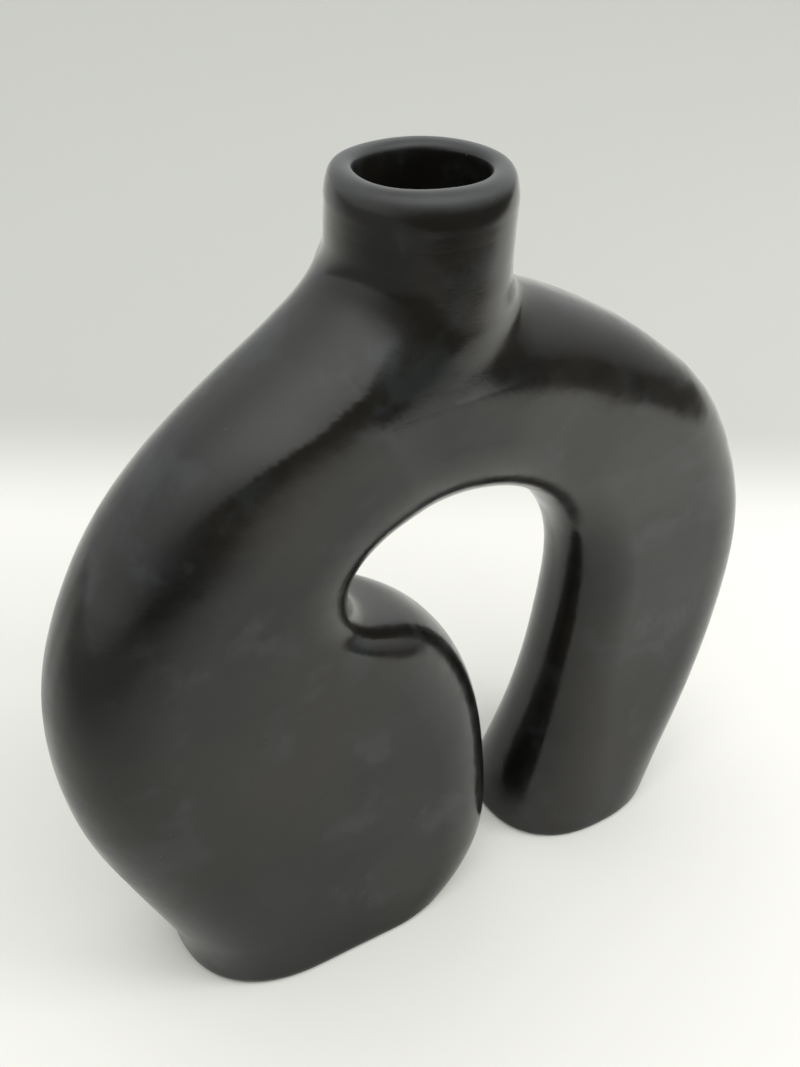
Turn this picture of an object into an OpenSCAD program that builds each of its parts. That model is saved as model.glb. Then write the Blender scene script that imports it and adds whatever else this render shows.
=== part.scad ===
// A vase of burnished black clay: a hollow arch that stands on a wide foot and
// a narrow foot, with a short round neck on its crown.
// Two moulded half shells meet in the middle plane, slabs close the two feet,
// and clay coils are worked into the joints before firing.
// X runs along the arch, Y through its thickness and Z up. The feet stand on
// Z = 0, and the origin lies under the middle of the arch.

/* [Body] */
// Thickness of the clay wall
wall = 5.5; // [5:0.25:6]
// Depth of the rounded outer edge, in half thicknesses of the body
outer_round = 1.2; // [1:0.05:1.3]
// Depth of the rounded edge beside the opening, in half thicknesses
inner_round = 1.1; // [0.9:0.05:1.2]
// Power of the edge's curve, where 2 is an ellipse and more is squarer
edge_power = 2.3; // [2:0.1:2.6]

/* [Neck] */
// Height of the whole vase
vase_h = 238; // [236:1:242]
// Place of the neck's axis along X
neck_x = -7.5; // [-9:0.5:-7]
// Radius of the neck's outside
neck_r = 22.75; // [22:0.25:23]
// Radius of the neck's bore
bore_r = 16; // [15.5:0.25:16.5]
// Radius of the hole cut in the crown under the neck
crown_hole_r = 14.5; // [13:0.25:15]
// Height of the coil that forms the rim
rim_h = 12; // [10:0.5:13]
// How far the rim swells beyond the neck
rim_swell = 0.75; // [0.5:0.25:1.5]
// How far the hollow corner at the left of the neck reaches out
left_cove = 13; // [10:0.5:14]
// How far it rises up the neck
left_cove_rise = 14; // [10:0.5:16]
// How far the hollow corner at the right of the neck reaches out
right_cove = 8; // [5:0.5:9]
// How far it rises up the neck
right_cove_rise = 7; // [5:0.5:9]

/* [Joints] */
// How far the coils stand out from the wall inside the body
coil_depth = 3.5; // [2.5:0.25:4]

/* [Smoothness] */
// Rings between one rib of the body and the next
ring_steps = 5; // [4:1:6]
// Steps from a seam round to the flat of the body
edge_steps = 5; // [4:1:6]

/* [Hidden] */

$fn = 96;
clay = [0.13, 0.13, 0.135];
inner_clay = [0.2, 0.19, 0.18];

// The ribs of the body, from the wide foot over the crown to the narrow foot.
// Each row steers one rib: its outer end's x and z, its inner end's x and z, and
// half the body's thickness. A smooth curve is drawn along the rows, and it
// meets only the first row and the last.
ribs = [
    [-86,   0,   3,   0, 28.5],  // sole of the wide foot
    [-88,  18,  23,  12, 25],
    [-112, 63,  13,  85, 22],
    [-117, 112, -8,  112, 22],   // belly, opposite the ledge of the opening
    [-106, 144, -31, 117, 23],
    [-92,  165, -33, 134, 23.5], // corner of the opening
    [-76,  181, -21, 144, 23.5],
    [-54,  198, -15, 145, 23.5],
    [-18,  219, -9,  147, 23],   // crown, under the neck
    [41,   197,  5,  148, 21],
    [100,  153,  31, 140, 18.5], // shoulder
    [117,  99,   49, 110, 16],
    [114,  61,   46, 60, 17.5],
    [88,   0,    27,  0, 26.5],  // sole of the narrow foot
];
last_rib = len(ribs) - 1;

// Places along the ribs where one piece ends and the next begins
wide_joint = 0.4;
wide_coil_top = 0.6;
left_coil_end = 7.4;
right_coil_start = 8.8;
narrow_coil_top = 12.8;
narrow_joint = 12.88;
crown_start = 6.4;
crown_end = 9.8;

// Heights at the neck. The bore's foot stays just above the crown's top.
rim_z = vase_h - rim_h;
bore_z = 213;
crown_low_z = 186;
left_corner_z = 209.3;
left_toe_z = 203.4;
right_corner_z = 205.2;
right_toe_z = 201.8;

// The crown's half thickness, and how deep its rounded edge goes
crown_half = ribs[8][4];
crown_round = outer_round * crown_half;

// A row of ribs, with one more row carried on straight beyond each end
function row(k) =
    k < 0 ? 2 * ribs[0] - ribs[1]
    : k > last_rib ? 2 * ribs[last_rib] - ribs[last_rib - 1]
    : ribs[k];

// The rib at place t, from 0 to last_rib, on a uniform cubic B-spline
function rib(t) =
    let (k = min(floor(t), last_rib - 1), u = t - k)
    (row(k - 1) * pow(1 - u, 3)
     + row(k) * (3 * pow(u, 3) - 6 * pow(u, 2) + 4)
     + row(k + 1) * (-3 * pow(u, 3) + 3 * pow(u, 2) + 3 * u + 1)
     + row(k + 2) * pow(u, 3)) / 6;

// A point on a rounded edge: how far it reaches along the rib and across it,
// at step k from the seam
function edge_point(depth, half, k) =
    let (a = 90 * k / edge_steps)
    [depth * pow(cos(a), 2 / edge_power), half * pow(sin(a), 2 / edge_power)];

// The front half of the body's outline in the rib at t, drawn inset inwards,
// from the outer seam to the inner seam
function half_ring(t, inset) =
    let (
        r = rib(t),
        outer = [r[0], 0, r[1]],
        inner = [r[2], 0, r[3]],
        half = r[4],
        width = norm(outer - inner),
        along = (outer - inner) / width,
        squeeze = min(1, width / ((outer_round + inner_round) * half)),
        outer_d = outer_round * half * squeeze,
        inner_d = inner_round * half * squeeze
    )
    [
        for (k = [0:edge_steps])
            let (e = edge_point(outer_d - inset, half - inset, k))
            inner + along * (width - outer_d + e[0]) - [0, e[1], 0],
        for (k = [edge_steps:-1:0])
            let (e = edge_point(inner_d - inset, half - inset, k))
            inner + along * (inner_d - e[0]) - [0, e[1], 0],
    ];

function backwards(list) = [for (k = [len(list) - 1:-1:0]) list[k]];
function to_back(points) = [for (p = points) [p[0], -p[1], p[2]]];
function without_ends(list) = [for (k = [1:len(list) - 2]) list[k]];

// The whole outline in the rib at t, drawn inset inwards
function full_ring(t, inset) =
    let (front = half_ring(t, inset))
    concat(front, backwards(to_back(without_ends(front))));

// Places of the rings from t0 to t1
function places(t0, t1) =
    concat(
        [t0],
        [for (k = [0:last_rib * ring_steps])
            let (t = k / ring_steps)
            if (t > t0 + 0.02 && t < t1 - 0.02) t],
        [t1]
    );

// The triangles between two loops of n points, which start at points a and b
function band(a, b, n) = [
    for (j = [0:n - 1])
        let (k = (j + 1) % n)
        each [[a + j, b + k, a + k], [a + j, b + j, b + k]]
];

// The faces that close a loop of n points, which start at point a. A thin bent
// outline, such as a shell's, is closed by strips from one side to the other.
function cap(a, n, thin) =
    thin
    ? [for (j = [0:n / 2 - 2]) [a + j, a + j + 1, a + n - 2 - j, a + n - 1 - j]]
    : [[for (j = [0:n - 1]) a + j]];

// A solid whose cross-sections are the given loops, all with as many points
module loft(loops, thin = false) {
    n = len(loops[0]);
    last = len(loops) - 1;
    points = [for (loop = loops) each loop];
    sides = [for (i = [0:last - 1]) each band(i * n, (i + 1) * n, n)];
    last_cap = [for (face = cap(last * n, n, thin)) backwards(face)];
    polyhedron(points, concat(cap(0, n, thin), sides, last_cap), convexity = 10);
}

// The same for a solid that closes on itself, such as a hoop
module closed_loft(loops) {
    n = len(loops[0]);
    count = len(loops);
    points = [for (loop = loops) each loop];
    sides = [for (i = [0:count - 1]) each band(i * n, (i + 1) % count * n, n)];
    polyhedron(points, sides, convexity = 10);
}

// The body's full cross-section from t0 to t1
module body_solid(t0, t1) {
    loft([for (t = places(t0, t1)) full_ring(t, 0)]);
}

module half_shell() {
    difference() {
        loft(
            [for (t = places(wide_joint, narrow_joint))
                concat(half_ring(t, 0), backwards(half_ring(t, wall)))],
            thin = true
        );
        translate([neck_x, 0, crown_low_z])
            cylinder(r = crown_hole_r, h = vase_h - crown_low_z);
    }
}

module front_half() {
    color(clay) half_shell();
}

module back_half() {
    color(clay) mirror([0, 1, 0]) half_shell();
}

module wide_foot() {
    color(clay) body_solid(0, wide_joint);
}

module narrow_foot() {
    color(clay) body_solid(narrow_joint, last_rib);
}

// A coil laid round the inside of a foot and smeared into the corner between the
// slab at base_t and the wall, up to top_t
module foot_coil(base_t, top_t) {
    corner = full_ring(base_t, wall);
    top = full_ring(top_t, wall);
    toe = full_ring(base_t, wall + coil_depth);
    color(inner_clay)
        closed_loft([
            for (j = [0:len(corner) - 1])
                top_t > base_t
                    ? [corner[j], toe[j], top[j]]
                    : [corner[j], top[j], toe[j]]
        ]);
}

module wide_foot_coil() {
    foot_coil(wide_joint, wide_coil_top);
}

module narrow_foot_coil() {
    foot_coil(narrow_joint, narrow_coil_top);
}

// The outline of a coil pressed over a seam inside the body. seam holds the
// three wall points from the seam forwards, and inwards points off the wall.
function coil_ring(seam, inwards) =
    let (
        crest = seam[0] + inwards * coil_depth,
        flank = seam[1] + inwards * coil_depth * 0.8
    )
    concat(
        [seam[0], seam[1], seam[2], flank, crest],
        to_back([flank, seam[2], seam[1]])
    );

function outer_coil_ring(t) =
    let (ring = half_ring(t, wall), end = len(ring) - 1)
    coil_ring(
        [ring[0], ring[1], ring[2]],
        (ring[end] - ring[0]) / norm(ring[end] - ring[0])
    );

function inner_coil_ring(t) =
    let (ring = half_ring(t, wall), end = len(ring) - 1)
    backwards(coil_ring(
        [ring[end], ring[end - 1], ring[end - 2]],
        (ring[0] - ring[end]) / norm(ring[0] - ring[end])
    ));

module outer_seam_coil_left() {
    color(inner_clay)
        loft([for (t = places(wide_coil_top, left_coil_end)) outer_coil_ring(t)]);
}

module outer_seam_coil_right() {
    color(inner_clay)
        loft([for (t = places(right_coil_start, narrow_coil_top)) outer_coil_ring(t)]);
}

module inner_seam_coil() {
    color(inner_clay)
        loft([for (t = places(wide_coil_top, narrow_coil_top)) inner_coil_ring(t)]);
}

// The neck's tube sits on the crown, so its foot is cut to the crown's shape.
// Its bore is full width above bore_z and closes in to the crown's hole below.
module neck_tube() {
    color(clay)
        difference() {
            translate([neck_x, 0, crown_low_z])
                cylinder(r = neck_r, h = rim_z - crown_low_z);
            translate([neck_x, 0, bore_z])
                cylinder(r = bore_r, h = vase_h - bore_z);
            translate([neck_x, 0, 0])
                cylinder(r = crown_hole_r, h = vase_h);
            body_solid(crown_start, crown_end);
        }
}

// How far the crown has fallen away at y from the middle plane
function crown_drop(y) =
    crown_round * (1 - pow(1 - pow(abs(y) / crown_half, edge_power), 1 / edge_power));

// A coil worked into the corner beside the neck, a hollow curve in section. It is
// fullest in the middle plane and dies out towards the front and the back.
// facing is the direction it points to, corner_z is the crown's height beside the
// neck, and toe_z its height where the coil runs out.
module neck_coil(facing, reach, rise, corner_z, toe_z) {
    half_turn = 42;
    turn_step = 6;
    steps = 4;
    function slice(turn) =
        let (
            a = facing + turn,
            f = cos(2 * turn),
            toe_r = neck_r + reach * f,
            drop = crown_drop(toe_r * sin(turn)),
            toe = [toe_r, toe_z + (corner_z - toe_z) * (1 - f) - drop],
            corner = [neck_r, corner_z - drop],
            top = [neck_r, corner_z - drop + rise * f],
            hollow = [
                for (k = [0:steps])
                    let (u = k / steps)
                    toe * pow(1 - u, 2) + corner * 2 * u * (1 - u) + top * pow(u, 2)
            ],
            under = [[neck_r, crown_low_z], [toe_r, crown_low_z]]
        )
        [for (p = concat(under, hollow)) [neck_x + p[0] * cos(a), p[0] * sin(a), p[1]]];
    color(clay)
        difference() {
            loft([for (turn = [half_turn:-turn_step:-half_turn]) slice(turn)]);
            body_solid(crown_start, crown_end);
        }
}

module neck_coil_left() {
    neck_coil(180, left_cove, left_cove_rise, left_corner_z, left_toe_z);
}

module neck_coil_right() {
    neck_coil(0, right_cove, right_cove_rise, right_corner_z, right_toe_z);
}

// The rim: a thick coil that swells outwards, flat on top with rounded edges
module rim_coil() {
    outer_r = neck_r + rim_swell;
    outer_edge = 3.5;
    inner_edge = 2;
    swell_r = (pow(rim_h / 2, 2) + pow(rim_swell, 2)) / (2 * rim_swell);
    color(clay)
        translate([neck_x, 0, rim_z])
            rotate_extrude()
                intersection() {
                    union() {
                        translate([bore_r, 0])
                            square([outer_r - bore_r, rim_h - outer_edge]);
                        translate([bore_r, 0])
                            square([outer_edge, rim_h - inner_edge]);
                        translate([bore_r + inner_edge, 0])
                            square([outer_r - outer_edge - bore_r - inner_edge, rim_h]);
                        translate([outer_r - outer_edge, rim_h - outer_edge])
                            circle(r = outer_edge);
                        translate([bore_r + inner_edge, rim_h - inner_edge])
                            circle(r = inner_edge);
                    }
                    translate([outer_r - swell_r, rim_h / 2])
                        circle(r = swell_r);
                }
}

front_half();
back_half();
wide_foot();
narrow_foot();
wide_foot_coil();
narrow_foot_coil();
outer_seam_coil_left();
outer_seam_coil_right();
inner_seam_coil();
neck_tube();
neck_coil_left();
neck_coil_right();
rim_coil();
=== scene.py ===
"""A vase of burnished black clay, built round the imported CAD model.

The vase is a hollow arch on a wide and a narrow foot, with a short neck and a thick
rim. Its outer skin is worked out in millimetres as one smooth surface, the arch and
the neck blended into each other. The skin is then cut along the joints of the CAD
pieces, and each part of it is given the thickness of the clay.
"""

import math

import bmesh
import bpy
import numpy as np
import openvdb
from mathutils import Matrix, Vector
from mathutils.bvhtree import BVHTree


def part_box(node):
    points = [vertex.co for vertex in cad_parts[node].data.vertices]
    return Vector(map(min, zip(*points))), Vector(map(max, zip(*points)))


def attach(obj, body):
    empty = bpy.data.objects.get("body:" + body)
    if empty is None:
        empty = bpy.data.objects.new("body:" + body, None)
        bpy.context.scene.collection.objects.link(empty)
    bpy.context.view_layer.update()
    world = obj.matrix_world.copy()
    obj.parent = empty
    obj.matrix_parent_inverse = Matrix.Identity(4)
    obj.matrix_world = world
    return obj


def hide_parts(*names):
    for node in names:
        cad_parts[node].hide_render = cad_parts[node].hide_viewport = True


MM = 0.001

# ---------------------------------------------------------------- the frame
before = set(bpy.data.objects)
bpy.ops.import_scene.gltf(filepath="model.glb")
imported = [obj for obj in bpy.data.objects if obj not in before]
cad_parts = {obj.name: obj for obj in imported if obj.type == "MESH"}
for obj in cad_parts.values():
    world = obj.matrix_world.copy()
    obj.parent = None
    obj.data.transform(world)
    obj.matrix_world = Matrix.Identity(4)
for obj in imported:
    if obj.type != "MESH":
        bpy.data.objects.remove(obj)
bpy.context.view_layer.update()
neck_low, neck_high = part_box("neck_tube")
rim_low, rim_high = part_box("rim_coil")
NECK_X = (rim_low[0] + rim_high[0]) / 2 / MM
NECK_R = (neck_high[0] - neck_low[0]) / 2 / MM
RIM_Z = rim_low[2] / MM
TOP_Z = rim_high[2] / MM

# ---------------------------------------------------------------- the arch
# One row per rib, from the wide foot over the crown to the narrow foot: the outer
# end's x and z, the inner end's x and z, and half the thickness, in millimetres
RIBS = np.array([
    [-86, 0, 3, 0, 28.5],
    [-88, 18, 23, 12, 25],
    [-112, 63, 13, 85, 22],
    [-117, 112, -8, 112, 22],
    [-106, 144, -31, 117, 23],
    [-92, 165, -33, 134, 23.5],
    [-76, 181, -21, 144, 23.5],
    [-54, 198, -15, 145, 23.5],
    [-18, 219, -9, 147, 23],
    [41, 197, 5, 148, 21],
    [100, 153, 31, 140, 18.5],
    [117, 99, 49, 110, 16],
    [114, 61, 46, 60, 17.5],
    [88, 0, 27, 0, 26.5],
])
LAST_RIB = len(RIBS) - 1
OUTER_ROUND = 1.2
INNER_ROUND = 1.1
EDGE_POWER = 2.3
WIDE_JOINT = 0.4
NARROW_JOINT = 12.88
SOLE_ROUND = 2
RING_STEP = 0.02
RING_POINTS = 240

# The ridge along the front shoulder: where it lies round the arch, in degrees from
# the outer seam, at places along the ribs
RIDGE_PLACES = [4.9, 5.66, 6.1, 6.5, 6.95, 7.36, 7.66]
RIDGE_ANGLES = [36, 44, 50, 53, 58, 58, 46]
RIDGE_HEIGHT = 4
RIDGE_EDGE = 0.8
RIDGE_BACK = 14
RIDGE_FRONT = 14

# Slow waves that no hand-built wall is free of: each one's direction and length, in
# millimetres, and its height
WAVES = [
    ((0.8, 0.3, 0.5), 71, 0.20),
    ((-0.4, 0.2, 0.9), 53, 0.16),
    ((0.5, -0.8, 0.3), 47, 0.12),
    ((0.9, 0.1, -0.4), 38, 0.10),
    ((0.1, 0.6, 0.8), 62, 0.14),
]


def spline(rows, t):
    """Points at places t on a uniform cubic B-spline that meets its first and last rows."""
    ends = np.vstack([2 * rows[0] - rows[1], rows, 2 * rows[-1] - rows[-2]])
    k = np.clip(np.floor(t).astype(int), 0, len(rows) - 2)
    u = (t - k)[:, None]
    return (
        ends[k] * (1 - u) ** 3
        + ends[k + 1] * (3 * u**3 - 6 * u**2 + 4)
        + ends[k + 2] * (-3 * u**3 + 3 * u**2 + 3 * u + 1)
        + ends[k + 3] * u**3
    ) / 6


def smooth_step(low, high, value):
    """0 below low, 1 above high, and a smooth rise between them."""
    u = np.clip((value - low) / (high - low), 0, 1)
    return u * u * (3 - 2 * u)


def unit(vectors):
    """The vectors, each made one long."""
    return vectors / np.linalg.norm(vectors, axis=-1, keepdims=True)


def ring_places():
    """Places of the rings along the ribs, closer together at the rounded soles."""
    middle = np.arange(0.1, LAST_RIB - 0.05, RING_STEP)
    sole = np.array([0, 0.004, 0.012, 0.025, 0.04, 0.06, 0.08])
    return np.concatenate([sole, middle, LAST_RIB - sole[::-1] * 0.4])


def smooth_rings(t, angle):
    """Points of the plain arch at places t and angles round it, from the outer seam."""
    rows = spline(RIBS, t)
    outer, inner, half = rows[:, 0:2], rows[:, 2:4], rows[:, 4]
    width = np.linalg.norm(outer - inner, axis=1)
    along = (outer - inner) / width[:, None]
    squeeze = np.minimum(1, width / ((OUTER_ROUND + INNER_ROUND) * half))
    lowest = np.minimum(outer[:, 1], inner[:, 1])
    lift = np.clip(SOLE_ROUND - lowest, 0, SOLE_ROUND)
    cut = (SOLE_ROUND - np.sqrt(SOLE_ROUND**2 - lift**2))[:, None]

    cos, sin = np.cos(angle)[None, :], np.sin(angle)[None, :]
    reach = np.abs(cos) ** (2 / EDGE_POWER)
    across = np.abs(sin) ** (2 / EDGE_POWER)
    outer_d = (OUTER_ROUND * half * squeeze)[:, None]
    inner_d = (INNER_ROUND * half * squeeze)[:, None]
    place = np.where(
        cos >= 0,
        width[:, None] - outer_d + (outer_d - cut) * reach,
        inner_d - (inner_d - cut) * reach,
    )
    y = -np.sign(sin) * (half[:, None] - cut) * across
    x = inner[:, 0, None] + along[:, 0, None] * place
    z = inner[:, 1, None] + along[:, 1, None] * place
    return np.stack([x, y, z], -1)


def ring_normals(rings):
    """Outward directions at the points of rings that run round the arch."""
    around = np.roll(rings, -1, axis=1) - np.roll(rings, 1, axis=1)
    onwards = np.gradient(rings, axis=0)
    return unit(np.cross(around, onwards))


def ridge_height(t, rings):
    """How far the front shoulder's ridge lifts each point of the rings."""
    fade_in = smooth_step(5, 6.8, t)
    fade_out = 1 - smooth_step(7.3, 7.95, t)
    height = RIDGE_HEIGHT * fade_in * fade_out
    ridge_angle = np.radians(np.interp(t, RIDGE_PLACES, RIDGE_ANGLES))
    steps = np.linalg.norm(np.roll(rings, -1, axis=1) - rings, axis=2)
    length = np.cumsum(steps, axis=1) - steps
    turn = ridge_angle / (2 * math.pi) * RING_POINTS
    k = np.floor(turn).astype(int)
    i = np.arange(len(t))
    ridge = length[i, k] + (turn - k) * steps[i, k]
    girth = steps.sum(1)[:, None]
    away = (length - ridge[:, None] + girth / 2) % girth - girth / 2
    rounded = np.sqrt(away**2 + RIDGE_EDGE**2) - RIDGE_EDGE
    fall = np.where(away < 0, RIDGE_BACK, RIDGE_FRONT)
    return height[:, None] * np.exp(-rounded / fall)


def wave_height(points):
    """How far the slow waves of the wall lift each point. They die out at the soles."""
    total = np.zeros(points.shape[:-1])
    for number, (direction, length, height) in enumerate(WAVES):
        phase = points @ unit(np.array(direction)) * 2 * math.pi / length
        total += height * np.sin(phase + 1.7 * number)
    return total * smooth_step(4, 22, points[..., 2])


def arch_mesh():
    """The arch's outer surface before the neck is added: points, quads and triangles."""
    t = ring_places()
    angle = np.arange(RING_POINTS) * 2 * math.pi / RING_POINTS
    rings = smooth_rings(t, angle)
    lift = ridge_height(t, rings) + wave_height(rings)
    rings = rings + ring_normals(rings) * lift[..., None]

    count = len(t)
    i, j = np.meshgrid(np.arange(count - 1), np.arange(RING_POINTS), indexing="ij")
    here, there = i * RING_POINTS, (i + 1) * RING_POINTS
    after = (j + 1) % RING_POINTS
    quads = np.stack([here + j, here + after, there + after, there + j], -1)
    centres = np.array([rings[0].mean(0), rings[-1].mean(0)])
    turn = np.arange(RING_POINTS)
    after = (turn + 1) % RING_POINTS
    middle = np.full(RING_POINTS, count * RING_POINTS)
    start = (count - 1) * RING_POINTS
    first = np.stack([after, turn, middle], -1)
    last = np.stack([start + turn, start + after, middle + 1], -1)
    points = np.vstack([rings.reshape(-1, 3), centres])
    return points, quads.reshape(-1, 4), np.vstack([first, last])


# ---------------------------------------------------------------- the skin
# The grid that arch and neck are united on, in millimetres
VOXEL = 1.15
GRID_LOW = np.array([-128.0, -42.0, -8.0])
GRID_HIGH = np.array([128.0, 42.0, 237.0])
BAND = 14  # voxels that the distance is known for on each side of the surface
NECK_FOOT_Z = 190
# The neck is blended in within this box round its axis, down to BLEND_DROP below its
# foot. Points nearer to the box's edge than BLEND_EDGE are left as they are.
BLEND_X = 60
BLEND_Y = 40
BLEND_DROP = 6
BLEND_EDGE = 2
# How often the points are moved nearer to the exact skin
SETTLE_STEPS = 3

# The neck is a little stouter than the CAD tube, and leans over to the right: its axis
# moves from one offset to the other between two heights
STOUTER = 0.25
LEAN_LOW_Z = 216
LEAN_HIGH_Z = 236
LEAN_LOW = -0.25
LEAN_HIGH = 0.3
# Below, it draws in, so that its foot stays inside the arch
TUCK_Z = 204
TUCK = 3

# How wide the hollow corner between neck and arch is, to the left, right and front,
# and the heights that its greater width at the sides dies out between
CORNER_LEFT = 23
CORNER_RIGHT = 13
CORNER_FRONT = 7
CORNER_LOW_Z = 214
CORNER_HIGH_Z = 226


def neck_outline(z):
    """The neck's radius at height z, and how fast it grows upwards."""
    drop = TUCK_Z - NECK_FOOT_Z
    v = np.clip((TUCK_Z - z) / drop, 0, 1)
    return NECK_R + STOUTER - TUCK * v * v, 2 * TUCK / drop * v


def neck_axis(z):
    """The x of the neck's axis at height z."""
    share = smooth_step(LEAN_LOW_Z, LEAN_HIGH_Z, z)
    return NECK_X + LEAN_LOW + (LEAN_HIGH - LEAN_LOW) * share


def neck_distance(points):
    """How far points are outside the neck, and the direction straight out of it."""
    dx = points[..., 0] - neck_axis(points[..., 2])
    dy = points[..., 1]
    r = np.maximum(np.hypot(dx, dy), 1e-6)
    radius, slope = neck_outline(points[..., 2])
    side = (r - radius) / np.sqrt(1 + slope**2)
    below = NECK_FOOT_Z - points[..., 2]
    outwards = unit(np.stack([dx / r, dy / r, -slope], -1))
    outwards[below > side] = (0, 0, -1)
    return np.maximum(side, below), outwards


def corner_width(points):
    """The width of the hollow corner round the neck, at each point."""
    dx = points[..., 0] - NECK_X
    dy = points[..., 1]
    towards_right = dx / np.maximum(np.hypot(dx, dy), 1e-6)
    low = 1 - smooth_step(CORNER_LOW_Z, CORNER_HIGH_Z, points[..., 2])
    left = smooth_step(0, 0.9, -towards_right) * low
    right = smooth_step(0.25, 1, towards_right) * low
    return (
        CORNER_FRONT
        + (CORNER_LEFT - CORNER_FRONT) * left
        + (CORNER_RIGHT - CORNER_FRONT) * right
    )


def blend(a, b, width):
    """The smooth union of distances a and b, and how much of it follows b."""
    h = np.maximum(width - np.abs(a - b), 0) / width
    share = h * h / 2
    return np.minimum(a, b) - h**3 * width / 6, np.where(a < b, share, 1 - share)


def rough_skin(arch):
    """Quads all over the union of arch and neck, up to a voxel's width off it."""
    points, quads, triangles = arch
    transform = openvdb.createLinearTransform(voxelSize=VOXEL)
    distance = openvdb.FloatGrid.createLevelSetFromPolygons(
        points,
        triangles=triangles.astype(np.uint32),
        quads=quads.astype(np.uint32),
        transform=transform,
        halfWidth=BAND,
    )
    low = np.floor(GRID_LOW / VOXEL).astype(int)
    high = np.ceil(GRID_HIGH / VOXEL).astype(int)
    values = np.empty(high - low, np.float32)
    distance.copyToArray(values, ijk=tuple(int(v) for v in low))

    axes = [np.arange(low[k], high[k]) * VOXEL for k in range(3)]
    near = [
        slice(*np.searchsorted(axes[0], [NECK_X - BLEND_X, NECK_X + BLEND_X])),
        slice(*np.searchsorted(axes[1], [-BLEND_Y, BLEND_Y])),
        slice(int(np.searchsorted(axes[2], NECK_FOOT_Z - BLEND_DROP)), None),
    ]
    places = np.stack(
        np.meshgrid(*[axes[k][near[k]] for k in range(3)], indexing="ij"), -1
    )
    to_neck = neck_distance(places)[0]
    values[tuple(near)] = blend(values[tuple(near)], to_neck, corner_width(places))[0]

    union = openvdb.FloatGrid(BAND * VOXEL)
    union.copyFromArray(values, ijk=tuple(int(v) for v in low))
    union.transform = transform
    return union.convertToQuads(0.0)


def settle(points, tree, near_neck):
    """Points moved on to the exact skin, and the skin's outward direction at each."""
    points = points.copy()
    normals = np.empty_like(points)
    for _ in range(SETTLE_STEPS):
        to_arch = np.empty(len(points))
        out_of_arch = np.empty_like(points)
        for n, p in enumerate(points):
            place, normal, _, far = tree.find_nearest(Vector(p))
            off = p - np.array(place)
            side = 1 if off @ np.array(normal) > 0 else -1
            to_arch[n] = side * far
            out_of_arch[n] = side * off / far if far > 0.05 else normal
        value, normals = to_arch, out_of_arch
        at = points[near_neck]
        to_neck, out_of_neck = neck_distance(at)
        both, share = blend(to_arch[near_neck], to_neck, corner_width(at))
        slope = (
            out_of_arch[near_neck] * (1 - share[:, None])
            + out_of_neck * share[:, None]
        )
        steep = (slope**2).sum(1)
        value[near_neck] = both / np.maximum(steep, 0.2)
        normals[near_neck] = slope
        points -= normals * value[:, None]
    return points, unit(normals)


# ---------------------------------------------------------------- cutting the skin
ON_CUT = 0.12  # points this near a cut's line are taken to lie on it, in millimetres
NECK_FOOT_R = NECK_R + 1.1
NECK_LOW_Z = 192
COIL_LOW_Z = 195
COIL_TURN = math.radians(45)
FOOT_JOINTS_Z = 25  # both feet's joints lie below this


def joint_plane(t):
    """The plane of the rib at place t: a point in it and its direction, up the leg."""
    outer_x, outer_z, inner_x, inner_z, _ = spline(RIBS, np.array([t]))[0]
    along = unit(np.array([outer_x - inner_x, 0, outer_z - inner_z]))
    upwards = np.array([-along[2], 0, along[0]])
    if upwards[2] < 0:
        upwards = -upwards
    return np.array([inner_x, 0, inner_z]), upwards


def above_plane(points, plane):
    return (points - plane[0]) @ plane[1]


def neck_radius(points):
    return np.hypot(points[:, 0] - NECK_X, points[:, 1])


def outside_neck(points):
    """Below 0 on the part of the skin that is the neck's tube."""
    return np.maximum(neck_radius(points) - NECK_FOOT_R, NECK_LOW_Z - points[:, 2])


def outside_coil(points, side, reach):
    """Below 0 on the coil worked into the corner at one side, -1 left or 1 right."""
    turn = np.arctan2(points[:, 1], side * (points[:, 0] - NECK_X))
    turn = np.clip(turn, -COIL_TURN, COIL_TURN)
    return neck_radius(points) - NECK_R - reach * np.cos(2 * turn)


def cut(mesh, level, region):
    """Cuts the mesh's faces along the line where level is 0, inside a region."""
    mesh.verts.index_update()
    mesh.verts.ensure_lookup_table()
    mesh.edges.ensure_lookup_table()
    points = np.array([v.co for v in mesh.verts])
    value = level(points)
    value[np.abs(value) < ON_CUT] = 0
    value[~region(points)] = np.nan
    side = dict(zip(mesh.verts, value.tolist()))
    on_line = [mesh.verts[i] for i in np.flatnonzero(value == 0)]
    ends = np.array([[v.index for v in e.verts] for e in mesh.edges])
    crossing = np.flatnonzero(value[ends[:, 0]] * value[ends[:, 1]] < 0)
    for edge in [mesh.edges[i] for i in crossing]:
        first, second = edge.verts
        share = side[first] / (side[first] - side[second])
        _, new = bmesh.utils.edge_split(edge, first, share)
        on_line.append(new)
        side[new] = 0
    for face in dict.fromkeys(f for vert in on_line for f in vert.link_faces):
        split_face(face, side)


def split_face(face, side):
    """Splits a face that lies on both sides of the line, from point to point on it."""
    corners = list(face.verts)
    marked = [i for i, corner in enumerate(corners) if side[corner] == 0]
    for n, i in enumerate(marked):
        for j in marked[n + 1:]:
            one = [side[corner] for corner in corners[i + 1:j]]
            other = [side[corner] for corner in corners[j + 1:] + corners[:i]]
            if one and other and all(a * b < 0 for a in one for b in other):
                bmesh.utils.face_split(face, corners[i], corners[j])
                return


WIDE_PLANE = joint_plane(WIDE_JOINT)
NARROW_PLANE = joint_plane(NARROW_JOINT)
BETWEEN_FEET_X = 21


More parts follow.
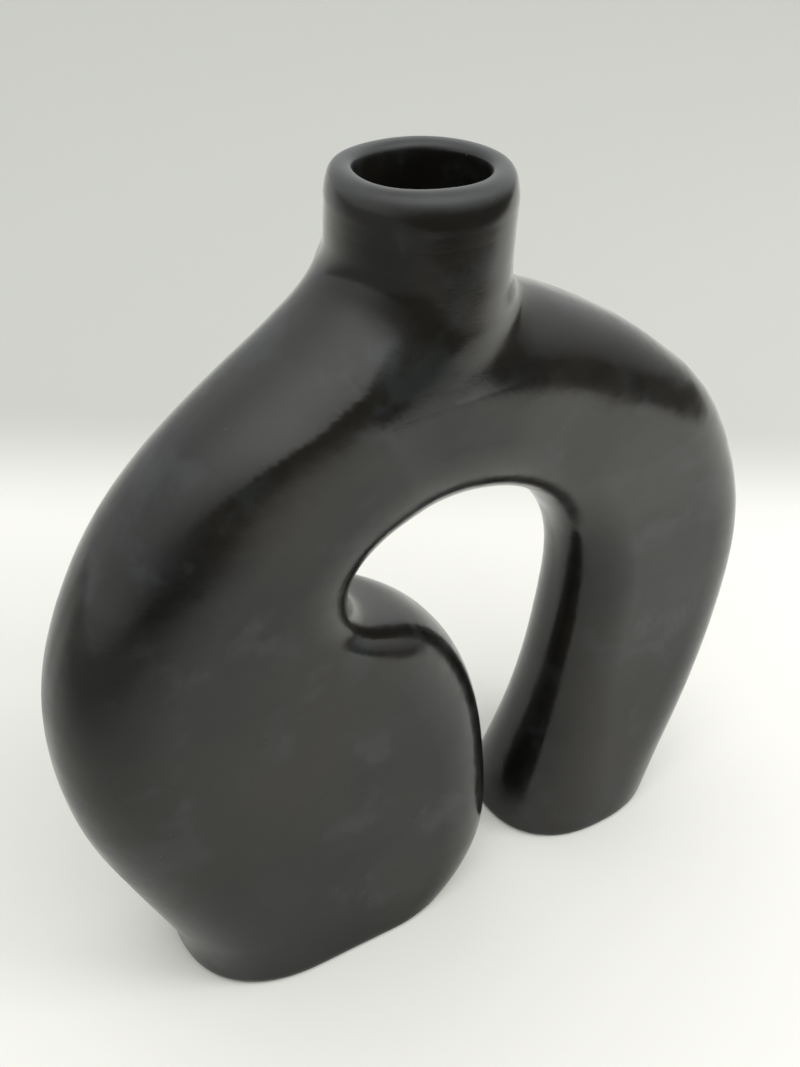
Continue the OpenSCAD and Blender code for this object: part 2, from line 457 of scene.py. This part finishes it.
def cut_skin(points, normals, quads):
    """The skin cut along every joint: its points, normals and faces."""
    data = bpy.data.meshes.new("skin")
    data.from_pydata(points.tolist(), [], quads.tolist())
    mesh = bmesh.new()
    mesh.from_mesh(data)
    bpy.data.meshes.remove(data)
    carried = mesh.verts.layers.float_vector.new("normal")
    for vert, normal in zip(mesh.verts, normals.tolist()):
        vert[carried] = normal

    cut(mesh, lambda p: p[:, 2] - RIM_Z, lambda p: p[:, 2] > RIM_Z - 6)
    above = [f for f in mesh.faces if f.calc_center_median().z > RIM_Z]
    bmesh.ops.delete(mesh, geom=above, context="FACES")
    cut(mesh, lambda p: p[:, 1], lambda p: np.full(len(p), True))
    cut(
        mesh,
        lambda p: above_plane(p, WIDE_PLANE),
        lambda p: (p[:, 2] < FOOT_JOINTS_Z) & (p[:, 0] < BETWEEN_FEET_X),
    )
    cut(
        mesh,
        lambda p: above_plane(p, NARROW_PLANE),
        lambda p: (p[:, 2] < FOOT_JOINTS_Z) & (p[:, 0] > BETWEEN_FEET_X),
    )
    cut(
        mesh,
        outside_neck,
        lambda p: (neck_radius(p) < 45) & (p[:, 2] > NECK_LOW_Z - 8),
    )
    for side, reach in ((-1, CORNER_LEFT), (1, CORNER_RIGHT)):
        cut(
            mesh,
            lambda p: outside_coil(p, side, reach),
            lambda p: (neck_radius(p) > NECK_FOOT_R - 0.2)
            & (side * (p[:, 0] - NECK_X) > 0)
            & (p[:, 2] > COIL_LOW_Z),
        )
    mesh.verts.index_update()
    points = np.array([v.co for v in mesh.verts])
    normals = unit(np.array([v[carried] for v in mesh.verts]))
    faces = [[v.index for v in f.verts] for f in mesh.faces]
    mesh.free()
    return points, normals, faces


def share_out(points, faces):
    """The faces of each piece, by the piece's name."""
    centres = np.array([points[f].mean(0) for f in faces])
    low = centres[:, 2] < FOOT_JOINTS_Z
    left = centres[:, 0] < BETWEEN_FEET_X
    corner = centres[:, 2] > COIL_LOW_Z
    kinds = {
        "neck_tube": outside_neck(centres) < 0,
        "neck_coil_left": corner & (centres[:, 0] < NECK_X)
        & (outside_coil(centres, -1, CORNER_LEFT) < 0),
        "neck_coil_right": corner & (centres[:, 0] > NECK_X)
        & (outside_coil(centres, 1, CORNER_RIGHT) < 0),
        "wide_foot": low & left & (above_plane(centres, WIDE_PLANE) < 0),
        "narrow_foot": low & ~left & (above_plane(centres, NARROW_PLANE) < 0),
        "front_half": centres[:, 1] < 0,
        "back_half": centres[:, 1] >= 0,
    }
    taken = np.zeros(len(faces), bool)
    shares = {}
    for name, wanted in kinds.items():
        mine = wanted & ~taken
        taken |= mine
        shares[name] = [faces[i] for i in np.flatnonzero(mine)]
    return shares


# ---------------------------------------------------------------- the pieces
BODY_WALL = 5.5
BORE_R = 16
THROAT_R = 14.5
THROAT_Z = 206
BORE_Z = 213
SMOOTHING = 30


def smoothed(normals, faces):
    """The directions, each averaged over its neighbours again and again."""
    pairs = {
        (min(a, b), max(a, b))
        for face in faces
        for a, b in zip(face, face[1:] + face[:1])
    }
    one, other = np.array(sorted(pairs)).T
    near = np.bincount(one, minlength=len(normals)) + np.bincount(
        other, minlength=len(normals)
    )
    for _ in range(SMOOTHING):
        total = np.stack([
            np.bincount(one, normals[other, k], len(normals))
            + np.bincount(other, normals[one, k], len(normals))
            for k in range(3)
        ], -1)
        normals = unit(normals + total / near[:, None])
    return normals


def inner_wall(points, towards):
    """The inside of the clay wall behind each point of the skin."""
    inner = points - towards * BODY_WALL
    on_seam = np.abs(points[:, 1]) < ON_CUT + 0.01
    inner[on_seam, 1] = points[on_seam, 1]
    for plane, left in ((WIDE_PLANE, True), (NARROW_PLANE, False)):
        off = above_plane(points, plane)
        near = (np.abs(off) < ON_CUT + 0.01) & (points[:, 2] < FOOT_JOINTS_Z)
        near &= (points[:, 0] < BETWEEN_FEET_X) == left
        lift = above_plane(inner, plane) - off
        inner[near] -= lift[near, None] * plane[1]
    return inner


def bore_wall(points):
    """The neck's bore behind each point of its skin."""
    radius = THROAT_R + (BORE_R - THROAT_R) * smooth_step(THROAT_Z, BORE_Z, points[:, 2])
    outwards = points * (1, 1, 0)
    outwards[:, 0] -= neck_axis(points[:, 2])
    inner = unit(outwards) * radius[:, None]
    inner[:, 0] += neck_axis(points[:, 2])
    inner[:, 2] = points[:, 2]
    return inner


def edge_loop(faces):
    """What follows each point along the open edge of the faces."""
    edges = {(a, b) for face in faces for a, b in zip(face, face[1:] + face[:1])}
    return {a: b for a, b in edges if (b, a) not in edges}


def used_only(faces):
    """The numbers of the points in use, and the faces with new numbers for them."""
    used = sorted({v for face in faces for v in face})
    place = {v: n for n, v in enumerate(used)}
    return used, [[place[v] for v in face] for face in faces]


def add_piece(name, points, faces, normals, material):
    """A piece from points in millimetres, with its corners' own normals."""
    data = bpy.data.meshes.new(name)
    data.from_pydata((points * MM).tolist(), [], faces)
    data.polygons.foreach_set("use_smooth", [True] * len(faces))
    data.normals_split_custom_set(normals.tolist())
    data.materials.append(material)
    piece = bpy.data.objects.new(name, data)
    bpy.context.scene.collection.objects.link(piece)
    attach(piece, "root")
    return piece


def face_normal(corners):
    """The direction that a face looks in, from its corners in order."""
    spokes = corners - corners[0]
    return unit(np.cross(spokes, np.roll(spokes, -1, axis=0)).sum(0))


def corner_normals(points, smooth, round_faces, flat_faces):
    """One direction for each corner: its point's own, or its face's where that is flat."""
    made = [smooth[np.concatenate(round_faces)]]
    for face in flat_faces:
        made.append(np.tile(face_normal(points[face]), (len(face), 1)))
    return np.vstack(made)


def shell_piece(name, skin, mine, wall_of, material):
    """A patch of the skin made as thick as the clay, with walls along its edge."""
    points, normals, towards = skin
    used, outer = used_only(mine)
    count = len(used)
    both = np.vstack([points[used], wall_of(points[used], towards[used])])
    smooth = np.vstack([normals[used], -towards[used]])
    inner = [[v + count for v in reversed(face)] for face in outer]
    after = edge_loop(outer)
    walls = [[b, a, a + count, b + count] for a, b in sorted(after.items())]
    corners = corner_normals(both, smooth, outer + inner, walls)
    return add_piece(name, both, outer + inner + walls, corners, material)


def foot_piece(name, skin, mine, material):
    """A solid foot: its skin and one flat face across the joint."""
    points, normals, _ = skin
    used, outer = used_only(mine)
    after = edge_loop(outer)
    loop = [min(after)]
    while after[loop[-1]] != loop[0]:
        loop.append(after[loop[-1]])
    top = loop[::-1]
    corners = corner_normals(points[used], normals[used], outer, [top])
    return add_piece(name, points[used], outer + [top], corners, material)


# The rim's outline from the neck over the lip and down the bore, as radius and height
# above the rim's foot
RIM_TURNS = 240
RIM_STEPS = 6
RIM_LIP = [
    (23.05, 3),
    (23.1, 5),
    (23, 6.5),
    (22.75, 8),
    (22.3, 9.5),
    (21.8, 10.5),
    (21.1, 11.3),
    (20.2, 11.8),
    (19, 12),
    (17.6, 11.8),
    (16.6, 11.1),
    (16.1, 9.7),
    (16, 7),
    (16, 3.5),
    (16, 0),
]
# The rim leans: it is this much higher towards one side than halfway round
RIM_LEAN = 1
RIM_LEAN_TURN = math.radians(238)


def rim_outline():
    """The rim's outline as a smooth curve, with the way along it at each point."""
    rows = np.array([(NECK_R + STOUTER, 0)] + RIM_LIP)
    ends = np.vstack([2 * rows[0] - rows[1], rows, 2 * rows[-1] - rows[-2]])
    points, ways = [], []
    for k in range(1, len(rows)):
        before, start, end, after = ends[k - 1:k + 3]
        last = k == len(rows) - 1
        for step in range(RIM_STEPS + last):
            u = step / RIM_STEPS
            out, into = (end - before) / 2, (after - start) / 2
            points.append(
                start * (2 * u**3 - 3 * u**2 + 1) + out * (u**3 - 2 * u**2 + u)
                + end * (3 * u**2 - 2 * u**3) + into * (u**3 - u**2)
            )
            ways.append(
                start * (6 * u**2 - 6 * u) + out * (3 * u**2 - 4 * u + 1)
                + end * (6 * u - 6 * u**2) + into * (3 * u**2 - 2 * u)
            )
    return np.array(points), unit(np.array(ways))


def rim_piece(material):
    """The rim: its outline turned round the neck's axis, a little uneven as by hand."""
    outline, ways = rim_outline()
    count = len(outline)
    turn = np.arange(RIM_TURNS) * 2 * math.pi / RIM_TURNS
    cos, sin = np.cos(turn)[:, None], np.sin(turn)[:, None]
    share = smooth_step(0, 9, outline[:, 1])[None, :]
    wide = 0.25 * np.sin(2 * turn + 0.6)[:, None] + 0.12 * np.sin(5 * turn + 2)[:, None]
    tall = RIM_LEAN * np.cos(turn - RIM_LEAN_TURN)[:, None]
    tall = tall + 0.12 * np.sin(3 * turn)[:, None]
    r = outline[None, :, 0] + wide * share
    z = RIM_Z + outline[None, :, 1] + tall * share
    points = np.stack([neck_axis(z) + r * cos, r * sin, z], -1).reshape(-1, 3)
    out = ways[None, :, 1] * np.ones_like(cos)
    up = -ways[None, :, 0] * np.ones_like(cos)
    smooth = np.stack([out * cos, out * sin, up], -1).reshape(-1, 3)

    faces, foot = [], []
    for n in range(RIM_TURNS):
        here, there = n * count, (n + 1) % RIM_TURNS * count
        for k in range(count - 1):
            faces.append([here + k, there + k, there + k + 1, here + k + 1])
        foot.append([here + count - 1, there + count - 1, there, here])
    corners = corner_normals(points, smooth, faces, foot)
    return add_piece("rim_of_the_neck", points, faces + foot, corners, material)


# ---------------------------------------------------------------- materials
# How far below the top the lip's wear and its painted highlight start, and where they are
# full, in millimetres
LIP_WEAR_AND_HIGHLIGHT_DEPTH = 3.5
LIP_WEAR_AND_HIGHLIGHT_FULL_DEPTH = 0.5


class Nodes:
    """A material's nodes, made and linked by short calls."""

    def __init__(self, name):
        self.material = bpy.data.materials.new(name)
        self.material.use_nodes = True
        self.tree = self.material.node_tree
        self.shader = self.tree.nodes["Principled BSDF"]
        self.place = self.tree.nodes.new("ShaderNodeTexCoord").outputs["Object"]

    def node(self, kind, inputs=None, **settings):
        made = self.tree.nodes.new("ShaderNode" + kind)
        for key, value in settings.items():
            setattr(made, key, value)
        for key, value in (inputs or {}).items():
            if isinstance(value, bpy.types.NodeSocket):
                self.tree.links.new(value, made.inputs[key])
            else:
                made.inputs[key].default_value = value
        return made

    def stretched(self, scale, turn=(0, 0, 0)):
        """The place on the object, turned and scaled, so that a pattern is drawn out."""
        return self.node(
            "Mapping", {"Vector": self.place, "Scale": scale, "Rotation": turn}
        ).outputs["Vector"]

    def noise(self, scale, detail=3, place=None, rough=0.5):
        inputs = {
            "Vector": place or self.place,
            "Scale": scale,
            "Detail": detail,
            "Roughness": rough,
        }
        return self.node("TexNoise", inputs).outputs["Fac"]

    def spread(self, value, low, high, to_low=0.0, to_high=1.0):
        """Value from low to high, spread smoothly from to_low to to_high."""
        inputs = {
            "Value": value,
            "From Min": low,
            "From Max": high,
            "To Min": to_low,
            "To Max": to_high,
        }
        return self.node("MapRange", inputs, interpolation_type="SMOOTHSTEP").outputs[
            "Result"
        ]

    def math(self, operation, a, b):
        return self.node("Math", {0: a, 1: b}, operation=operation).outputs["Value"]

    def mix(self, share, a, b):
        mixed = self.node("Mix", {0: share, 6: a, 7: b}, data_type="RGBA")
        return mixed.outputs[2]

    def bump(self, height, distance, strength=1.0, onto=None):
        inputs = {"Height": height, "Distance": distance, "Strength": strength}
        if onto:
            inputs["Normal"] = onto
        return self.node("Bump", inputs).outputs["Normal"]

    def shade(self, **sockets):
        for key, value in sockets.items():
            socket = self.shader.inputs[key.replace("_", " ")]
            if isinstance(value, bpy.types.NodeSocket):
                self.tree.links.new(value, socket)
            else:
                socket.default_value = value


def burnished_clay():
    """Smoke-fired clay, black with faint clouds and haze, rubbed to a satin sheen.

    The top of the lip is rubbed a little duller by wear, and painted paler as a highlight
    of the light from above.
    """
    n = Nodes("burnished_clay")
    clouds = n.spread(n.noise(16, 4), 0.38, 0.66)
    mottle = n.spread(n.noise(70, 5), 0.35, 0.7)
    black = n.mix(mottle, (0.003, 0.0033, 0.003, 1), (0.0055, 0.0056, 0.0049, 1))
    colour = n.mix(clouds, black, (0.009, 0.0078, 0.006, 1))
    haze = n.spread(n.noise(48, 6, rough=0.6), 0.52, 0.66)
    colour = n.mix(haze, colour, (0.0135, 0.0153, 0.0147, 1))
    height = n.node("SeparateXYZ", {"Vector": n.place}).outputs["Z"]
    # The top of the lip: painted paler as a highlight of the light from above, and made
    # duller by wear
    on_lip = n.spread(height, (TOP_Z - LIP_WEAR_AND_HIGHLIGHT_DEPTH) * MM, (TOP_Z - LIP_WEAR_AND_HIGHLIGHT_FULL_DEPTH) * MM)
    lip_wear_and_painted_highlight = n.math("MULTIPLY", on_lip, n.spread(n.noise(60, 4), 0.25, 0.6, 0.4, 1))
    # painted highlight: the lip's top is painted paler where the light from above falls on
    # it
    colour = n.mix(lip_wear_and_painted_highlight, colour, (0.028, 0.0305, 0.03, 1))

    rubbed = n.noise(1, 4, n.stretched((40, 40, 160), (0.4, 0.5, 0.3)))
    patches = n.spread(n.noise(40, 5, rough=0.6), 0.42, 0.66, 0, 0.08)
    dullness = n.math("ADD", n.spread(rubbed, 0.3, 0.7, 0.13, 0.21), patches)
    dullness = n.math("ADD", dullness, n.math("MULTIPLY", lip_wear_and_painted_highlight, 0.1))

    speck_mask = n.spread(n.noise(45, 2), 0.58, 0.66)
    speck = n.node("TexVoronoi", {"Vector": n.place, "Scale": 420}).outputs["Distance"]
    specks = n.math("MULTIPLY", n.spread(speck, 0.12, 0.04), speck_mask)
    colour = n.mix(specks, colour, (0.06, 0.058, 0.054, 1))
    dullness = n.math("ADD", dullness, n.math("MULTIPLY", specks, 0.25))

    facets = n.bump(n.noise(95, 1), 0.0004, 0.3)
    strokes = n.bump(rubbed, 0.0002, 0.16, facets)
    grain = n.bump(n.noise(1400, 2), 0.00003, 0.5, strokes)
    n.shade(Base_Color=colour, Roughness=dullness, Normal=grain, IOR=1.5)
    return n.material


def raw_clay():
    """The same clay inside the vase, where no stone has rubbed it: matt and grainy."""
    n = Nodes("raw_clay")
    clouds = n.spread(n.noise(30, 4), 0.35, 0.65)
    colour = n.mix(clouds, (0.028, 0.027, 0.026, 1), (0.05, 0.046, 0.042, 1))
    dullness = n.spread(n.noise(200, 3), 0.3, 0.7, 0.7, 0.9)
    fingers = n.bump(n.noise(60, 2), 0.0008, 0.6)
    grain = n.bump(n.noise(900, 4), 0.0001, 0.8, fingers)
    n.shade(Base_Color=colour, Roughness=dullness, Normal=grain)
    return n.material


# ---------------------------------------------------------------- the vase
def build_vase():
    burnished = burnished_clay()
    raw = raw_clay()
    arch = arch_mesh()
    rough, quads = rough_skin(arch)
    rough = rough.astype(float)
    near_neck = np.abs(rough[:, 0] - NECK_X) < BLEND_X - BLEND_EDGE
    near_neck &= rough[:, 2] > NECK_FOOT_Z - BLEND_DROP + BLEND_EDGE
    arch_points, arch_quads, arch_triangles = arch
    tree = BVHTree.FromPolygons(
        arch_points.tolist(), arch_quads.tolist() + arch_triangles.tolist()
    )
    points, normals = settle(rough, tree, near_neck)
    points, normals, faces = cut_skin(points, normals, quads)
    skin = points, normals, smoothed(normals, faces)
    shares = share_out(points, faces)
    pieces = {
        name: shell_piece("clay_" + name, skin, shares[name], wall_of, burnished)
        for name, wall_of in (
            ("front_half", inner_wall),
            ("back_half", inner_wall),
            ("neck_coil_left", inner_wall),
            ("neck_coil_right", inner_wall),
            ("neck_tube", lambda place, towards: bore_wall(place)),
        )
    }
    for name in ("wide_foot", "narrow_foot"):
        pieces[name] = foot_piece("clay_" + name, skin, shares[name], burnished)
    pieces["rim_coil"] = rim_piece(burnished)
    for name, piece in pieces.items():
        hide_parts(name)
    for name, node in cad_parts.items():
        if name not in pieces:
            node.material_slots[0].link = "OBJECT"
            node.material_slots[0].material = raw


# ---------------------------------------------------------------- the studio
CAMERA_PLACE = (-167.0, -248.8, 352.6)
CAMERA_HEADING = math.radians(32.15)
CAMERA_PITCH = math.radians(36.79)
CAMERA_ROLL = math.radians(1.59)
SENSOR = 36
LENS = 59.85

# How bright the room is: low down on its dim side, low down elsewhere, above behind
# the camera, and above beyond the vase. It is brightest where a direction rises by
# SKY_FULL.
DIM_HEADING = math.radians(162)
SKY_DIM = 0.15
SKY_LOW = 0.9
SKY_HIGH = 2.4
SKY_BEYOND = 1.2
SKY_FULL = 0.82
SKY_COLOUR = (0.985, 1, 0.985, 1)
# How far the bright overhead light leans over, and towards which heading
SKY_LEAN = math.radians(13)
SKY_LEAN_HEADING = math.radians(85)

LAMP_PLACE = (0.87, -0.65, 0.6)
LAMP_AIM = (0, 0, 0.1)
LAMP_SIDE = 0.5
LAMP_POWER = 7

# The sheet round the vase carries painted shade, seen only in the clay's reflections, in
# place of the shade on the table and in the room near the camera. It turns grey slowly
# towards one heading, and dark beyond a short way towards another: for each, the heading,
# where the shade starts and where it is full, in metres, and its colour
CARD_PALE = (0.7, 0.695, 0.663, 1)
CARD_PAINTED_SHADES = (
    (math.radians(240), -0.1, 0.5, (0.2, 0.2, 0.195, 1)),
    (math.radians(157), 0.31, 0.46, (0.02, 0.02, 0.02, 1)),
)

# The table, with painted shade that turns it greyer between two distances beyond the vase,
# where the light falls off
TABLE_SIDE = 8
TABLE_PAINTED_SHADE_DISTANCES = (0.17, 0.27)
TABLE_COLOUR = (0.67, 0.663, 0.63, 1)
TABLE_PAINTED_SHADE_COLOUR = (0.44, 0.439, 0.419, 1)


def heading_turn(turn):
    return np.array([math.sin(turn), math.cos(turn), 0])


def add_camera():
    forward = heading_turn(CAMERA_HEADING) * math.cos(CAMERA_PITCH)
    forward[2] = -math.sin(CAMERA_PITCH)
    level = unit(np.cross(forward, (0, 0, 1)))
    upright = np.cross(level, forward)
    cos, sin = math.cos(CAMERA_ROLL), math.sin(CAMERA_ROLL)
    right = cos * level + sin * upright
    up = cos * upright - sin * level
    data = bpy.data.cameras.new("camera")
    data.sensor_fit = "HORIZONTAL"
    data.sensor_width = SENSOR
    data.lens = LENS
    data.clip_start = 0.01
    data.clip_end = 20
    camera = bpy.data.objects.new("camera", data)
    bpy.context.scene.collection.objects.link(camera)
    turn = np.eye(4)
    turn[:3, 0], turn[:3, 1], turn[:3, 2] = right, up, -forward
    turn[:3, 3] = np.array(CAMERA_PLACE) * MM
    camera.matrix_world = Matrix(turn.tolist())
    bpy.context.scene.camera = camera


def add_square(name, material):
    """A flat square on the ground, which is part of the stage."""
    half = TABLE_SIDE / 2
    data = bpy.data.meshes.new(name)
    corners = [(-half, -half, 0), (half, -half, 0), (half, half, 0), (-half, half, 0)]
    data.from_pydata(corners, [], [(0, 1, 2, 3)])
    data.materials.append(material)
    square = bpy.data.objects.new(name, data)
    bpy.context.scene.collection.objects.link(square)
    return square


def add_floor():
    """A wide pale table, with painted shade making it a little greyer beyond the vase,
    where the light falls off.
    """
    n = Nodes("table")
    away = n.node("VectorRotate", {
        "Vector": n.place, "Angle": CAMERA_HEADING,
    }, rotation_type="Z_AXIS").outputs["Vector"]
    depth = n.node("SeparateXYZ", {"Vector": away}).outputs["Y"]
    # painted shade: the table darkens with distance beyond the vase, standing in for the
    # light falling off
    beyond = n.spread(depth, *TABLE_PAINTED_SHADE_DISTANCES)
    colour = n.mix(beyond, TABLE_COLOUR, TABLE_PAINTED_SHADE_COLOUR)
    n.shade(Base_Color=colour, Roughness=0.6)
    add_square("floor", n.material)


def add_side_lamp():
    """A soft lamp at the right, which the clay doesn't mirror."""
    data = bpy.data.lights.new("side", "AREA")
    data.shape = "SQUARE"
    data.size = LAMP_SIDE
    data.energy = LAMP_POWER
    lamp = bpy.data.objects.new("side", data)
    lamp.visible_glossy = False
    lamp.location = LAMP_PLACE
    towards = Vector(LAMP_AIM) - Vector(LAMP_PLACE)
    lamp.rotation_euler = towards.to_track_quat("-Z", "Y").to_euler()
    bpy.context.scene.collection.objects.link(lamp)


def add_sky():
    """The light of a room: soft and bright from above, dim low behind the camera."""
    world = bpy.data.worlds.new("room")
    bpy.context.scene.world = world
    world.use_nodes = True
    tree = world.node_tree
    place = tree.nodes.new("ShaderNodeTexCoord").outputs["Generated"]

    def ramp(value, low, high, to_low, to_high):
        made = tree.nodes.new("ShaderNodeMapRange")
        made.interpolation_type = "SMOOTHSTEP"
        tree.links.new(value, made.inputs["Value"])
        for name, limit in (
            ("From Min", low), ("From Max", high), ("To Min", to_low), ("To Max", to_high)
        ):
            if isinstance(limit, bpy.types.NodeSocket):
                tree.links.new(limit, made.inputs[name])
            else:
                made.inputs[name].default_value = limit
        return made.outputs["Result"]

    def share_of(direction):
        made = tree.nodes.new("ShaderNodeVectorMath")
        made.operation = "DOT_PRODUCT"
        made.inputs[1].default_value = direction
        tree.links.new(place, made.inputs[0])
        return made.outputs["Value"]

    dim = share_of(heading_turn(DIM_HEADING).tolist())
    onwards = share_of(heading_turn(CAMERA_HEADING).tolist())
    lean = heading_turn(SKY_LEAN_HEADING) * math.sin(SKY_LEAN)
    upwards = share_of((lean[0], lean[1], math.cos(SKY_LEAN)))
    low = ramp(dim, -0.3, 0.8, SKY_LOW, SKY_DIM)
    high = ramp(onwards, -0.9, 0.5, SKY_HIGH, SKY_BEYOND)
    strength = ramp(upwards, 0, SKY_FULL, low, high)
    background = tree.nodes["Background"]
    background.inputs["Color"].default_value = SKY_COLOUR
    tree.links.new(strength, background.inputs["Strength"])


def add_painted_shade_card():
    """A sheet of painted shade on the table round the vase, standing in for the dim table
    and room that the clay mirrors. Only what mirrors it shows how dark it is.
    """
    n = Nodes("painted_shade_card")
    colour = CARD_PALE
    # painted shade: each shade darkens the sheet towards its heading, so the clay mirrors
    # darkness there
    for heading, start, full, shade in CARD_PAINTED_SHADES:
        direction = heading_turn(heading).tolist()
        away = n.node("VectorMath", {0: n.place, 1: direction}, operation="DOT_PRODUCT")
        colour = n.mix(n.spread(away.outputs["Value"], start, full), colour, shade)
    n.shade(Base_Color=colour, Roughness=0.9)
    painted_shade_card = add_square("painted_shade_card", n.material)
    painted_shade_card.location.z = 0.001
    painted_shade_card.visible_camera = False
    painted_shade_card.visible_diffuse = False
    painted_shade_card.visible_shadow = False


build_vase()
add_camera()
add_floor()
add_sky()
add_painted_shade_card()
add_side_lamp()
bpy.context.scene.view_settings.view_transform = "Standard"
